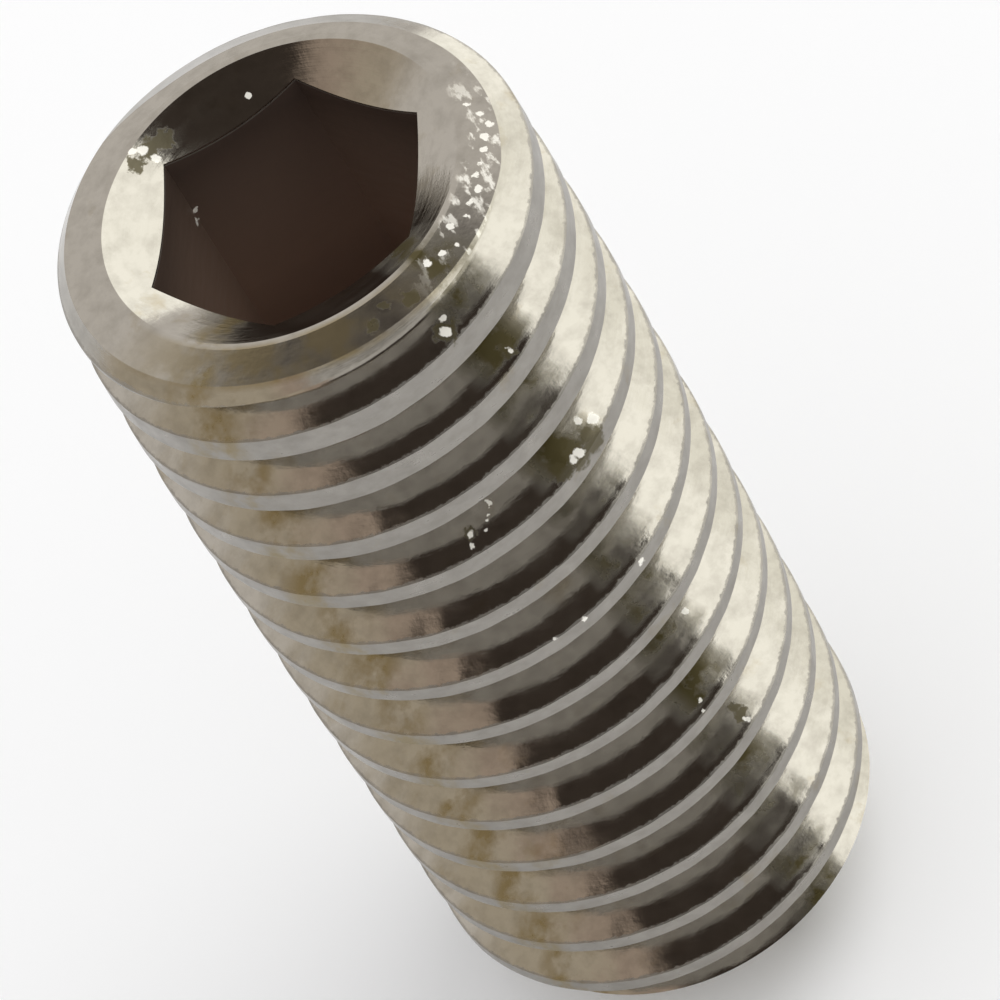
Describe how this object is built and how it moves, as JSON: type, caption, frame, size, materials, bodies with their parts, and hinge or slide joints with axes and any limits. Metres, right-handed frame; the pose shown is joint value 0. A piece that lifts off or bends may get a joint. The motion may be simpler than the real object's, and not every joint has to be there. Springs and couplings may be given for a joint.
{
  "type": "hexagon socket set screw",
  "caption": "Headless grub screw with a metric thread over its whole length, a countersunk hexagon socket at one end and a bevelled flat point at the other.",
  "frame": {"origin": "middle of the flat point, on the screw's axis", "axes": "+Z along the axis from the point to the socket end; X and Y across it"},
  "size_m": [0.0048, 0.0048, 0.012],
  "materials": {
    "zinc_plated_steel": "bright zinc-plated steel, turned and thread-rolled, handled and slightly worn, with olive-brown grime in the thread"
  },
  "bodies": {
    "root": {"set_screw": "zinc_plated_steel"}
  },
  "joints": []
}
